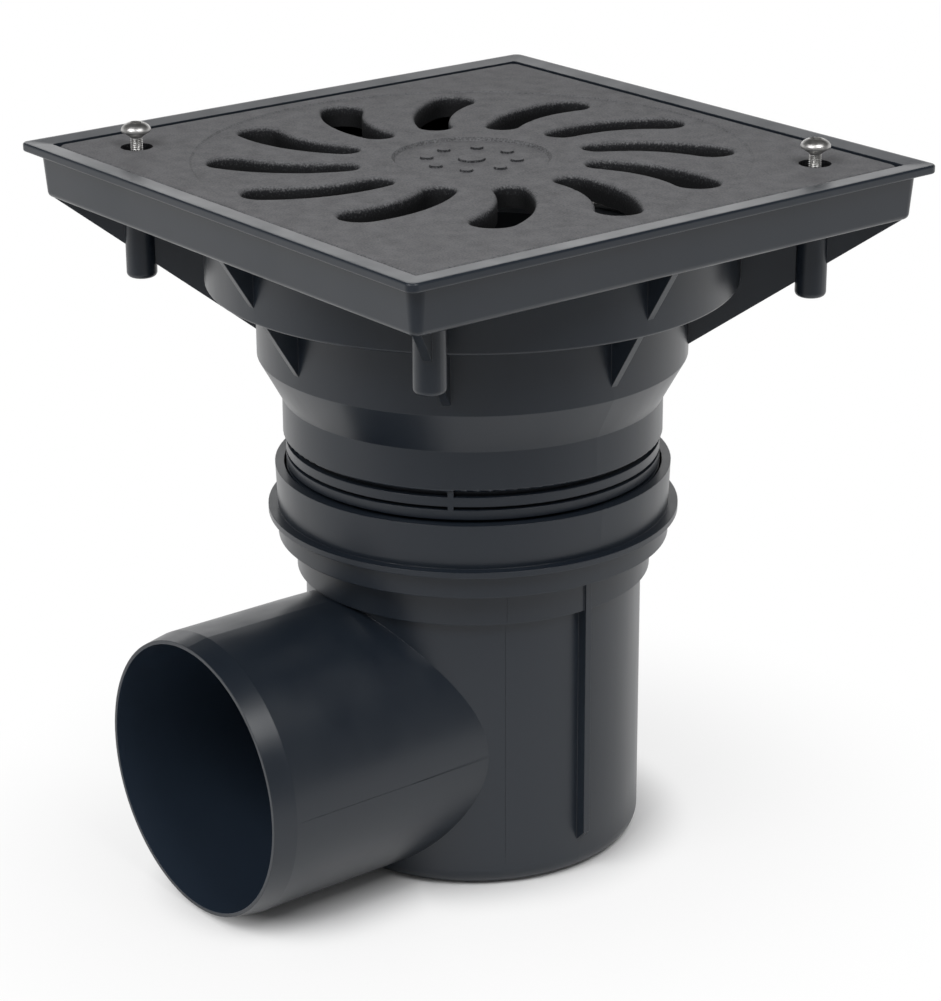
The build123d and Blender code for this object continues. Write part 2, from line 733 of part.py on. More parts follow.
# Trap flap: a ribbed disc on two arms, with a knuckle for the pin and a groove for its seal
seal_radius = (mouth_radius + seat_radius) / 2
with BuildPart() as trap_flap:
    with BuildSketch(mouth_plane.offset(flap_face)):
        Circle(flap_radius)
        with Locations((0, hinge_up / 2)):
            Rectangle(knuckle_length - ear_thickness, hinge_up)
    extrude(amount=flap_plate)
    with BuildSketch(mouth_plane.offset(flap_face + flap_plate)):
        Circle(mouth_radius / 2 + flap_rib_width)
        Circle(mouth_radius / 2, mode=Mode.SUBTRACT)
        rib_middle = (mouth_radius / 2 + flap_radius) / 2
        with PolarLocations(rib_middle, flap_rib_count, start_angle=180 / flap_rib_count):
            Rectangle(flap_radius - mouth_radius / 2 - flap_rib_width, flap_rib_width)
    extrude(amount=flap_rib)
    with BuildSketch(Plane.YZ.offset(-knuckle_length / 2)):
        with Locations(hinge_place):
            Circle(knuckle_radius)
    extrude(amount=knuckle_length)
    with BuildSketch(mouth_plane.offset(flap_face)):
        Circle(seal_radius + flap_seal_width / 2 + flap_seal_fit)
        Circle(seal_radius - flap_seal_width / 2 - flap_seal_fit, mode=Mode.SUBTRACT)
    extrude(amount=flap_seal_inset, mode=Mode.SUBTRACT)
    with BuildSketch(Plane.YZ.offset(-knuckle_length / 2)):
        with Locations(hinge_place):
            Circle(pin_radius + pin_fit)
    extrude(amount=knuckle_length, mode=Mode.SUBTRACT)
trap_flap.part.label = "trap_flap"
export_step(trap_flap.part, "parts/trap_flap.step")

# Flap seal: a flat ring in the flap's groove, just clear of the seat when the flap hangs shut
with BuildPart() as flap_seal:
    with BuildSketch(mouth_plane.offset(flap_face + flap_seal_inset)):
        Circle(seal_radius + flap_seal_width / 2)
        Circle(seal_radius - flap_seal_width / 2, mode=Mode.SUBTRACT)
    extrude(amount=-flap_seal_thickness)
flap_seal.part.label = "flap_seal"
export_step(flap_seal.part, "parts/flap_seal.step")

# Flap pin: a headed pin through the insert's ears and the flap's knuckle, spread at its plain end
pin_end = ear_face + ear_thickness + ear_gap
with BuildPart() as flap_pin:
    with BuildSketch(Plane.YZ.offset(-pin_end)):
        with Locations(hinge_place):
            Circle(pin_radius)
    extrude(amount=pin_end * 2)
    for near in (pin_end, -pin_end - pin_head_thickness):
        with BuildSketch(Plane.YZ.offset(near)):
            with Locations(hinge_place):
                Circle(pin_radius + pin_head)
        extrude(amount=pin_head_thickness)
flap_pin.part.label = "flap_pin"
export_step(flap_pin.part, "parts/flap_pin.step")
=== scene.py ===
"""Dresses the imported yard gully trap: cast grate and screws, inlet frame, trap body and odour trap."""

import logging
import math
from abc import ABC, abstractmethod
from dataclasses import dataclass
from enum import Enum
from typing import ClassVar

import bpy
import numpy as np
from mathutils import Matrix, Vector


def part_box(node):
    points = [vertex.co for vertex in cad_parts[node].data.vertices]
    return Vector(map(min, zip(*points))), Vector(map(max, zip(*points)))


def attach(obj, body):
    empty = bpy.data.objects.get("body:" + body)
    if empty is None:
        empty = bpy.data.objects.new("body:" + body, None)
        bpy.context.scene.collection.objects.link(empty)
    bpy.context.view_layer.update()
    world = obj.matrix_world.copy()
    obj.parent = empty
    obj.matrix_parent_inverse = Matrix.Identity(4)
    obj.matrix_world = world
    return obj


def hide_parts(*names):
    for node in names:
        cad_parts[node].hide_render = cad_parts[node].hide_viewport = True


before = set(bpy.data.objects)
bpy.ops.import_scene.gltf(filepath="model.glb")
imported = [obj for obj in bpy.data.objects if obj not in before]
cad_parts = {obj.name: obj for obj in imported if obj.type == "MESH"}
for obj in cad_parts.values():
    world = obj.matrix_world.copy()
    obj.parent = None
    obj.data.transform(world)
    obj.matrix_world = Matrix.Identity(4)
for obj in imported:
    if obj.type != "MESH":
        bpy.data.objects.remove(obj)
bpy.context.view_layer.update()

MM = 0.001
SHARP_ANGLE = math.radians(40)

# where the Mix node puts its result, by its data type
MIXED_VALUE = 0
MIXED_COLOUR = 2

log = logging.getLogger("gully_trap")


class Ray(Enum):
    """Outputs of the Light Path node that see the studio instead of the ambient light."""

    CAMERA = "Is Camera Ray"
    GLOSSY = "Is Glossy Ray"
    TRANSMISSION = "Is Transmission Ray"


def linear(hex_code: str) -> tuple[float, float, float, float]:
    """Turns an sRGB colour into the linear colour that the shaders take.

    Args:
        hex_code: the colour as #rrggbb.

    Returns:
        Linear red, green and blue, and full opacity.
    """
    channels = np.array([int(hex_code[i : i + 2], 16) for i in (1, 3, 5)]) / 255
    curve = ((channels + 0.055) / 1.055) ** 2.4
    values = np.where(channels <= 0.04045, channels / 12.92, curve)
    return (*values.tolist(), 1.0)


def add_node(
    tree: bpy.types.NodeTree, kind: str, links: dict | None = None, **settings: object
) -> bpy.types.Node:
    """Adds one node to a tree.

    Args:
        tree: the node tree that gets the node.
        kind: the node's Blender type name.
        links: what each input takes, by name or number: a socket to link, or a constant.
        settings: the node's own properties.

    Returns:
        The new node.
    """
    node = tree.nodes.new(kind)
    for key, value in settings.items():
        setattr(node, key, value)
    for key, value in (links or {}).items():
        if isinstance(value, bpy.types.NodeSocket):
            tree.links.new(value, node.inputs[key])
        else:
            node.inputs[key].default_value = value
    return node


def closed_piece(name: str, rings: np.ndarray, first: np.ndarray, last: np.ndarray) -> bpy.types.Object:
    """Makes a closed smooth surface through rings of points, shut at both ends by a fan to a pole.

    Args:
        name: the new object's name.
        rings: points as (copy, ring, point, xyz), counter-clockwise as seen from the last ring.
        first: the pole before the first ring, as (copy, xyz).
        last: the pole after the last ring, as (copy, xyz).

    Returns:
        The object, linked to the scene.
    """
    copies, count, around, _ = rings.shape
    index = np.arange(count * around).reshape(count, around)
    beside = np.roll(index, -1, axis=1)
    quads = np.stack([index[:-1], beside[:-1], beside[1:], index[1:]], axis=-1).reshape(-1, 4)
    start = np.stack([beside[0], index[0], np.full(around, index.size)], axis=-1)
    end = np.stack([index[-1], beside[-1], np.full(around, index.size + 1)], axis=-1)
    step = np.arange(copies)[:, None, None] * (index.size + 2)
    groups = [(part + step).reshape(-1, part.shape[1]).tolist() for part in (quads, start, end)]
    faces = [face for group in groups for face in group]
    points = np.concatenate([rings.reshape(copies, -1, 3), first[:, None], last[:, None]], axis=1)
    mesh = bpy.data.meshes.new(name)
    mesh.from_pydata(points.reshape(-1, 3), [], faces)
    mesh.shade_smooth()
    mesh.set_sharp_from_angle(angle=SHARP_ANGLE)
    piece = bpy.data.objects.new(name, mesh)
    bpy.context.scene.collection.objects.link(piece)
    return piece


def new_material(name: str) -> tuple[bpy.types.Material, bpy.types.NodeTree]:
    """Makes an empty node material.

    Args:
        name: the finish's plain name.

    Returns:
        The material and its cleared node tree.
    """
    material = bpy.data.materials.new(name)
    material.use_nodes = True
    material.node_tree.nodes.clear()
    return material, material.node_tree


@dataclass(frozen=True)
class Finish(ABC):
    """A material named for what it is and for how its surface was made."""

    name: str

    @abstractmethod
    def skin(self, tree: bpy.types.NodeTree, place: bpy.types.NodeSocket) -> bpy.types.Node:
        """Adds the nodes that make the surface.

        Args:
            tree: the material's node tree.
            place: the point on the piece, in Object coordinates.

        Returns:
            The shader node.
        """

    def make(self) -> bpy.types.Material:
        """Builds the node material.

        Returns:
            The finished material.
        """
        material, tree = new_material(self.name)
        skin = self.skin(tree, add_node(tree, "ShaderNodeTexCoord").outputs["Object"])
        add_node(tree, "ShaderNodeOutputMaterial", {"Surface": skin.outputs["BSDF"]})
        return material


@dataclass(frozen=True)
class MouldedPolypropylene(Finish):
    """Polypropylene, injection moulded in a finely eroded steel tool.

    The eye gets a satin skin: dark body colour, soft reflections broken by a fine grit,
    and faint streaks where the melt flowed up the wall. The outlet's bore is painted paler,
    painted light that stands in for the light reaching inside it.
    """

    shade: str
    streak: str
    # the next colour is painted light: a paler tone for the outlet's bore
    painted_inside_tone: str
    roughness: tuple[float, float] = (0.29, 0.37)
    ior: float = 1.49
    grit: float = 0.9 * MM
    grit_depth: float = 0.008 * MM
    grit_detail: float = 2.0
    grit_fade: float = 0.6
    flow: float = 22.0 * MM
    flow_stretch: float = 5.0
    flow_detail: float = 3.0
    flow_fade: float = 0.55
    flow_span: tuple[float, float] = (0.3, 0.7)
    edge: float = 0.45 * MM
    edge_samples: int = 4
    bore_radius: float = 52.2 * MM
    bore_z: float = 55.4 * MM
    bore_start: float = -30.0 * MM

    def bore_light_mask(self, tree: bpy.types.NodeTree, place: bpy.types.NodeSocket) -> bpy.types.NodeSocket:
        """Finds the bore that gets painted light: close to the outlet's axis, and ahead of the body's own
        axis.

        Args:
            tree: the material's node tree.
            place: the point on the piece, in Object coordinates.

        Returns:
            1 in the bore and 0 elsewhere.
        """
        spoke = add_node(
            tree, "ShaderNodeMapping",
            {"Vector": place, "Scale": (1.0, 0.0, 1.0), "Location": (0.0, 0.0, -self.bore_z)},
        )
        from_axis = add_node(tree, "ShaderNodeVectorMath", {0: spoke.outputs["Vector"]}, operation="LENGTH")
        within = add_node(
            tree, "ShaderNodeMath", {0: from_axis.outputs["Value"], 1: self.bore_radius},
            operation="LESS_THAN",
        )
        axes = add_node(tree, "ShaderNodeSeparateXYZ", {0: place})
        ahead = add_node(
            tree, "ShaderNodeMath", {0: axes.outputs["Y"], 1: self.bore_start}, operation="LESS_THAN"
        )
        bore = add_node(
            tree, "ShaderNodeMath", {0: within.outputs["Value"], 1: ahead.outputs["Value"]},
            operation="MULTIPLY",
        )
        return bore.outputs["Value"]

    def skin(self, tree: bpy.types.NodeTree, place: bpy.types.NodeSocket) -> bpy.types.Node:
        """Adds the streaks, the painted light in the bore, the grit and the rounded edges.

        Args:
            tree: the material's node tree.
            place: the point on the piece, in Object coordinates.

        Returns:
            The shader node.
        """
        upright = add_node(
            tree, "ShaderNodeMapping", {"Vector": place, "Scale": (1.0, 1.0, 1 / self.flow_stretch)}
        )
        flow = add_node(
            tree, "ShaderNodeTexNoise",
            {"Vector": upright.outputs["Vector"], "Scale": 1 / self.flow,
             "Detail": self.flow_detail, "Roughness": self.flow_fade},
        )
        # the grit of such a tool is about 0.1 mm, drawn coarser here so that it shows in the picture
        grit = add_node(
            tree, "ShaderNodeTexNoise",
            {"Vector": place, "Scale": 1 / self.grit,
             "Detail": self.grit_detail, "Roughness": self.grit_fade},
        )
        outside = add_node(
            tree, "ShaderNodeMix",
            {"Factor": flow.outputs["Fac"], "A": linear(self.shade), "B": linear(self.streak)},
            data_type="RGBA",
        )
        # painted light: the outlet's bore takes a paler colour for the light that reaches inside it
        colour = add_node(
            tree, "ShaderNodeMix",
            {"Factor": self.bore_light_mask(tree, place), "A": outside.outputs[MIXED_COLOUR],
             "B": linear(self.painted_inside_tone)},
            data_type="RGBA",
        )
        gloss = add_node(
            tree, "ShaderNodeMapRange",
            {"Value": flow.outputs["Fac"], "From Min": self.flow_span[0], "From Max": self.flow_span[1],
             "To Min": self.roughness[0], "To Max": self.roughness[1]},
        )
        rounded = add_node(tree, "ShaderNodeBevel", {"Radius": self.edge}, samples=self.edge_samples)
        bump = add_node(
            tree, "ShaderNodeBump",
            {"Height": grit.outputs["Fac"], "Distance": self.grit_depth, "Normal": rounded.outputs["Normal"]},
        )
        return add_node(
            tree, "ShaderNodeBsdfPrincipled",
            {"Base Color": colour.outputs[MIXED_COLOUR], "Roughness": gloss.outputs["Result"],
             "IOR": self.ior, "Normal": bump.outputs["Normal"]},
        )


@dataclass(frozen=True)
class SandCastIron(Finish):
    """Grey iron, cast in a sand mould and dipped in thin black varnish.

    The eye gets a dull grey with a sandy grain, a slow unevenness from the mould's rammed face,
    and painted shade on the walls where the cores stood, darker downwards, with a ragged and speckled top
    edge.
    """

    face: str
    # the next two colours are painted shade on the slots' walls, lighter near the top and darker deep down
    hollow: str
    painted_inside_tone: str
    painted_deep_shade: str
    roughness: tuple[float, float] = (0.62, 0.86)
    specular: float = 0.4
    grain: float = 0.75 * MM
    grain_depth: float = 0.16 * MM
    grain_detail: float = 3.0
    grain_fade: float = 0.65
    grain_span: tuple[float, float] = (0.3, 0.7)
    speck_span: tuple[float, float] = (0.54, 0.68)
    unevenness: float = 7.0 * MM
    unevenness_depth: float = 0.18 * MM
    unevenness_detail: float = 4.0
    tone_span: tuple[float, float] = (0.72, 1.40)
    wall_fade: tuple[float, float] = (267.5 * MM, 271.6 * MM)
    wall_facing: tuple[float, float] = (0.30, 0.86)
    raggedness: float = 1.3

    def wall_painted_shade(
        self, tree: bpy.types.NodeTree, place: bpy.types.NodeSocket, grain: bpy.types.NodeSocket
    ) -> bpy.types.NodeSocket:
        """Paints shade on the walls that the cores left: specks of sand at the top, and darker further down.

        Args:
            tree: the material's node tree.
            place: the point on the piece, in Object coordinates.
            grain: the noise of the sand.

        Returns:
            The walls' colour, with its painted shade.
        """
        axes = add_node(tree, "ShaderNodeSeparateXYZ", {0: place})
        shallow = add_node(
            tree, "ShaderNodeMapRange",
            {"Value": axes.outputs["Z"], "From Min": self.wall_fade[0], "From Max": self.wall_fade[1]},
        )
        specks = add_node(
            tree, "ShaderNodeMapRange",
            {"Value": grain, "From Min": self.speck_span[0], "From Max": self.speck_span[1],
             "To Max": shallow.outputs["Result"]},
        )
        # painted shade: the walls darken towards the bottom of the slots
        depth = add_node(
            tree, "ShaderNodeMix",
            {"Factor": shallow.outputs["Result"], "A": linear(self.painted_deep_shade), "B": linear(self.painted_inside_tone)},
            data_type="RGBA",
        )
        walls = add_node(
            tree, "ShaderNodeMix",
            {"Factor": specks.outputs["Result"], "A": depth.outputs[MIXED_COLOUR], "B": linear(self.hollow)},
            data_type="RGBA",
        )
        return walls.outputs[MIXED_COLOUR]

    def skin(self, tree: bpy.types.NodeTree, place: bpy.types.NodeSocket) -> bpy.types.Node:
        """Adds the grain, the unevenness and the ragged line where faces turn into walls of painted shade.

        Args:
            tree: the material's node tree.
            place: the point on the piece, in Object coordinates.

        Returns:
            The shader node.
        """
        facing = add_node(
            tree, "ShaderNodeSeparateXYZ", {0: add_node(tree, "ShaderNodeNewGeometry").outputs["Normal"]}
        )
        slow = add_node(
            tree, "ShaderNodeTexNoise",
            {"Vector": place, "Scale": 1 / self.unevenness, "Detail": self.unevenness_detail},
        )
        # moulding sand is about 0.3 mm, drawn coarser here so that it shows in the picture
        grain = add_node(
            tree, "ShaderNodeTexNoise",
            {"Vector": place, "Scale": 1 / self.grain,
             "Detail": self.grain_detail, "Roughness": self.grain_fade},
        )
        height = add_node(
            tree, "ShaderNodeMath",
            {0: slow.outputs["Fac"], 1: self.unevenness_depth / self.grain_depth, 2: grain.outputs["Fac"]},
            operation="MULTIPLY_ADD",
        )
        tone = add_node(
            tree, "ShaderNodeMapRange",
            {"Value": height.outputs["Value"], "From Min": self.tone_span[0], "From Max": self.tone_span[1]},
        )
        faces = add_node(
            tree, "ShaderNodeMix",
            {"Factor": tone.outputs["Result"], "A": linear(self.hollow), "B": linear(self.face)},
            data_type="RGBA",
        )
        ragged = add_node(
            tree, "ShaderNodeMath", {0: grain.outputs["Fac"], 1: self.raggedness, 2: facing.outputs["Z"]},
            operation="MULTIPLY_ADD",
        )
        low, high = (limit + self.raggedness / 2 for limit in self.wall_facing)
        # painted shade: faces turned away from upright take the darker wall colour
        flat = add_node(
            tree, "ShaderNodeMapRange", {"Value": ragged.outputs["Value"], "From Min": low, "From Max": high}
        )
        colour = add_node(
            tree, "ShaderNodeMix",
            {"Factor": flat.outputs["Result"], "A": self.wall_painted_shade(tree, place, grain.outputs["Fac"]),
             "B": faces.outputs[MIXED_COLOUR]},
            data_type="RGBA",
        )
        gloss = add_node(
            tree, "ShaderNodeMapRange",
            {"Value": grain.outputs["Fac"], "From Min": self.grain_span[0], "From Max": self.grain_span[1],
             "To Min": self.roughness[1], "To Max": self.roughness[0]},
        )
        bump = add_node(
            tree, "ShaderNodeBump", {"Height": height.outputs["Value"], "Distance": self.grain_depth}
        )
        return add_node(
            tree, "ShaderNodeBsdfPrincipled",
            {"Base Color": colour.outputs[MIXED_COLOUR], "Roughness": gloss.outputs["Result"],
             "Specular IOR Level": self.specular, "Normal": bump.outputs["Normal"]},
        )


@dataclass(frozen=True)
class StainlessSteel(Finish):
    """Stainless steel, cold headed or drawn, then tumbled.

    The eye gets a pale grey metal with broad soft highlights and faint tumbling marks.
    """

    shade: str
    roughness: tuple[float, float] = (0.33, 0.46)
    marks: float = 1.4 * MM
    marks_detail: float = 4.0
    marks_distortion: float = 1.2
    marks_span: tuple[float, float] = (0.35, 0.65)

    def skin(self, tree: bpy.types.NodeTree, place: bpy.types.NodeSocket) -> bpy.types.Node:
        """Adds the metal, dulled in places by its tumbling marks.

        Args:
            tree: the material's node tree.
            place: the point on the piece, in Object coordinates.

        Returns:
            The shader node.
        """
        marks = add_node(
            tree, "ShaderNodeTexNoise",
            {"Vector": place, "Scale": 1 / self.marks,
             "Detail": self.marks_detail, "Distortion": self.marks_distortion},
        )
        gloss = add_node(
            tree, "ShaderNodeMapRange",
            {"Value": marks.outputs["Fac"], "From Min": self.marks_span[0], "From Max": self.marks_span[1],
             "To Min": self.roughness[0], "To Max": self.roughness[1]},
        )
        return add_node(
            tree, "ShaderNodeBsdfPrincipled",
            {"Base Color": linear(self.shade), "Metallic": 1.0, "Roughness": gloss.outputs["Result"]},
        )


@dataclass(frozen=True)
class MouldedRubber(Finish):
    """EPDM rubber, compression moulded: dull black with a soft bloom that greys it in patches."""

    shade: str
    bloom: str
    roughness: float = 0.62
    ior: float = 1.52
    patch: float = 7.0 * MM
    patch_detail: float = 5.0

    def skin(self, tree: bpy.types.NodeTree, place: bpy.types.NodeSocket) -> bpy.types.Node:
        """Adds the rubber with its patches of bloom.

        Args:
            tree: the material's node tree.
            place: the point on the piece, in Object coordinates.

        Returns:
            The shader node.
        """
        patch = add_node(
            tree, "ShaderNodeTexNoise",
            {"Vector": place, "Scale": 1 / self.patch, "Detail": self.patch_detail},
        )
        colour = add_node(
            tree, "ShaderNodeMix",
            {"Factor": patch.outputs["Fac"], "A": linear(self.shade), "B": linear(self.bloom)},
            data_type="RGBA",
        )
        return add_node(
            tree, "ShaderNodeBsdfPrincipled",
            {"Base Color": colour.outputs[MIXED_COLOUR], "Roughness": self.roughness, "IOR": self.ior},
        )


# the third colour of each is painted light for the outlet's bore
BLACK_PP = MouldedPolypropylene(
    "black_polypropylene_moulded", shade="#1a2029", streak="#20272f", painted_inside_tone="#28323f"
)
GREY_PP = MouldedPolypropylene(
    "grey_polypropylene_moulded", shade="#2b2e32", streak="#34373b", painted_inside_tone="#34373b"
)
# the last two colours are painted shade for the slots' walls
CAST_IRON = SandCastIron(
    "grey_iron_sand_cast", face="#69696b", hollow="#535355", painted_inside_tone="#202125", painted_deep_shade="#08090c"
)
STAINLESS = StainlessSteel("stainless_steel_tumbled", shade="#c8c7c5")
EPDM = MouldedRubber("epdm_rubber_moulded", shade="#0f1012", bloom="#18191b")


class SubAssembly:
    """CAD pieces that share a job, with the finish that each one takes."""

    finishes: ClassVar[dict[str, Finish]] = {}

    def build(self) -> dict[bpy.types.Object, Finish]:
        """Adds the pieces that the CAD model doesn't have.

        Returns:
            The new pieces and their finishes.
        """
        return {}

    def dress(self, made: dict[Finish, bpy.types.Material]) -> None:
        """Builds the new pieces and gives each piece its finish.

        Args:
            made: the materials, by their finish.
        """
        dressed = {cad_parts[node]: finish for node, finish in self.finishes.items()} | self.build()
        for piece, finish in dressed.items():
            piece.data.materials.clear()
            piece.data.materials.append(made[finish])
            log.info("%s takes %s", piece.name, finish.name)


@dataclass(frozen=True)
class MouldLines:
    """Fine ridges where the halves of the mould met, on the body's wall and along the outlet's sides.

    Each ridge is an ellipse swept along a straight line and sunk by half in the wall. Its width shrinks
    towards both ends as the square root of 1 - (2s - 1)^8, where s runs from 0 to 1 along the line.
    """

    turn: float = math.radians(-28.0)
    body_radius: float = 65.4 * MM
    body_reach: tuple[float, float] = (9.0 * MM, 110.0 * MM)
    ledge_radius: float = 68.7 * MM
    ledge_reach: tuple[float, float] = (111.2 * MM, 124.2 * MM)
    outlet_radius: float = 55.0 * MM
    outlet_z: float = 55.4 * MM
    outlet_reach: tuple[float, float] = (-124.5 * MM, -36.0 * MM)
    width: float = 0.16 * MM
    height: float = 0.03 * MM
    taper_power: int = 8
    stations: int = 48
    around: int = 12

    def build(self) -> bpy.types.Object:
        """Builds the ridges as one piece that moves with the trap body.

        Returns:
            The new object.
        """
        way = np.array([math.cos(self.turn), math.sin(self.turn), 0.0])
        across_x, along, up = np.eye(3)
        low, high = self.outlet_reach
        side = np.array([self.outlet_radius, 0.0, self.outlet_z])
        mirrored = side * [-1, 1, 1]
        starts = np.stack([
            way * self.body_radius + up * self.body_reach[0],
            way * self.ledge_radius + up * self.ledge_reach[0],
            side + along * low,
            mirrored + along * low,
        ])
        ends = np.stack([
            way * self.body_radius + up * self.body_reach[1],
            way * self.ledge_radius + up * self.ledge_reach[1],
            side + along * high,
            mirrored + along * high,
        ])
        outward = np.stack([way, way, across_x, -across_x])
        run = ends - starts
        across = np.cross(run / np.linalg.norm(run, axis=1, keepdims=True), outward)
        s = (np.arange(self.stations) + 0.5) / self.stations
        u = np.linspace(0, 2 * math.pi, self.around, endpoint=False)
        taper = np.sqrt(1 - (2 * s - 1) ** self.taper_power)[None, :, None, None]
        spread = np.cos(u)[:, None] * across[:, None, None] * self.width / 2
        rise = np.sin(u)[:, None] * outward[:, None, None] * self.height
        rings = (starts[:, None] + run[:, None] * s[:, None])[:, :, None] + (rise - spread) * taper
        piece = closed_piece("mould_lines", rings, starts, ends)
        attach(piece, "trap")
        return piece


@dataclass(frozen=True)
class GrateScrews:
    """The two button-head screws with a real thread, in place of the CAD model's plain ones.

    A screw is a surface of revolution whose shank radius falls from the crest by the thread's depth times
    a triangle wave of height / pitch - angle / full turn. The head's lower edge is a quarter circle, its dome
    a quarter ellipse, and the key recess a hexagon: apothem / cosine of the angle to the nearest flat.
    """

    head_radius: float = 5.7 * MM
    head_under: float = 1.7 * MM
    edge: float = 0.7 * MM
    dome: float = 3.3 * MM
    shank_radius: float = 2.4 * MM
    point_share: float = 0.5
    thread_pitch: float = 0.8 * MM
    thread_depth: float = 0.42 * MM
    key_flat: float = 2.0 * MM
    key_depth: float = 2.2 * MM
    key_tip: float = 0.3 * MM
    key_tip_share: float = 0.4
    recess_rim: float = 1.08
    around: int = 36
    rows_a_turn: int = 7
    edge_rows: int = 6
    dome_rows: int = 10

    def surface(self, low_z: float, top_z: float) -> np.ndarray:
        """Works out one screw that stands on the Z axis, from its point up over the head and into the recess.

        Args:
            low_z: height of the screw's point.
            top_z: height of the recess's rim, the screw's highest place.

        Returns:
            Points as (ring, point, xyz).
        """
        u = np.linspace(0, 2 * math.pi, self.around, endpoint=False)[None, :]
        key = self.key_flat / np.cos((u + math.pi / 6) % (math.pi / 3) - math.pi / 6)
        hold = np.ones_like(u)

        # the dome's ellipse rises from the edge to the recess's rim
        steep = np.arccos(key * self.recess_rim / self.head_radius)
        edge_z = top_z - self.dome * np.sin(steep).max()
        head_z = edge_z - self.edge - self.head_under
        turns = round((head_z - low_z) / self.thread_pitch)
        z = np.linspace(low_z, head_z, turns * self.rows_a_turn)[:, None]
        wave = np.abs(2 * ((z / self.thread_pitch - u / (2 * math.pi)) % 1) - 1)
        neck = np.clip((head_z - z) / self.thread_pitch, 0, 1)
        point = np.clip((z - low_z) / self.shank_radius, 0, 1)
        narrowing = self.point_share + (1 - self.point_share) * point
        shank_r = (self.shank_radius - self.thread_depth * wave * neck) * narrowing

        bend = np.linspace(-math.pi / 2, 0, self.edge_rows)[:, None]
        edge_r = (self.head_radius - self.edge + self.edge * np.cos(bend)) * hold
        under_z = edge_z + self.edge * np.sin(bend)
        rise = np.arange(1, self.dome_rows + 1)[:, None] / self.dome_rows * steep
        dome_r = self.head_radius * np.cos(rise)
        dome_z = edge_z + self.dome * np.sin(rise)
        floor_z = top_z - self.key_depth
        recess_r = np.concatenate([key, key, key * self.key_tip_share])
        recess_z = np.concatenate([
            dome_z[-1:] - self.key_tip / 2,
            floor_z * hold,
            (floor_z - self.key_tip) * hold,
        ])

        r = np.concatenate([shank_r, edge_r, dome_r, recess_r])
        height = np.concatenate([z * hold, under_z * hold, dome_z, recess_z])
        return np.stack([r * np.cos(u), r * np.sin(u), height], axis=-1)

    def build(self) -> bpy.types.Object:
        """Builds both screws as one piece that moves with the inlet frame.

        Returns:
            The new object.
        """
        low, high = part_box("grate_screws")
        place = high[0] - self.head_radius
        corners = np.array([[-place, -place, 0.0], [place, place, 0.0]])
        rings = self.surface(low[2], high[2])[None] + corners[:, None, None]
        first = corners + [0, 0, low[2]]
        last = corners + [0, 0, high[2] - self.key_depth - self.key_tip * 3 / 2]
        piece = closed_piece("threaded_screws", rings, first, last)
        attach(piece, "inlet")
        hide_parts("grate_screws")
        return piece


@dataclass(frozen=True)
class TrapBody(SubAssembly):
    """The moulded body with its side outlet, and the seal in its socket."""

    finishes = {"trap_body": BLACK_PP, "socket_seal": EPDM}
    lines: MouldLines = MouldLines()

    def build(self) -> dict[bpy.types.Object, Finish]:
        """Adds the mould lines."""
        return {self.lines.build(): BLACK_PP}


class InletFrame(SubAssembly):
    """The ribbed frame that carries the grate and the sludge bucket."""

    finishes = {"inlet_frame": BLACK_PP, "sludge_bucket": GREY_PP, "bucket_bail": STAINLESS}


@dataclass(frozen=True)
class GrateAndScrews(SubAssembly):
    """The cast grate and the two screws at its corners."""

    finishes = {"grate": CAST_IRON}
    screws: GrateScrews = GrateScrews()

    def build(self) -> dict[bpy.types.Object, Finish]:
        """Adds the threaded screws."""
        return {self.screws.build(): STAINLESS}


class OdourTrap(SubAssembly):
    """The cup in the body with its hinged flap, pin and seals."""

    finishes = {
        "trap_insert": GREY_PP,
        "trap_flap": GREY_PP,
        "flap_pin": STAINLESS,
        "insert_seal": EPDM,
        "flap_seal": EPDM,
    }


@dataclass(frozen=True)
class Softbox:
    """A rectangular lamp with a diffuser, aimed at a point."""

    name: str
    place: tuple[float, float, float]
    aim: tuple[float, float, float]
    size: tuple[float, float]
    power: float

    def build(self) -> None:
        """Adds the lamp to the scene."""
        lamp = bpy.data.lights.new(self.name, "AREA")
        lamp.shape = "RECTANGLE"
        lamp.size, lamp.size_y = self.size
        lamp.energy = self.power
        holder = bpy.data.objects.new(self.name, lamp)
        holder.location = self.place
        direction = Vector(self.aim) - Vector(self.place)
        holder.rotation_euler = direction.to_track_quat("-Z", "Y").to_euler()
        bpy.context.scene.collection.objects.link(holder)


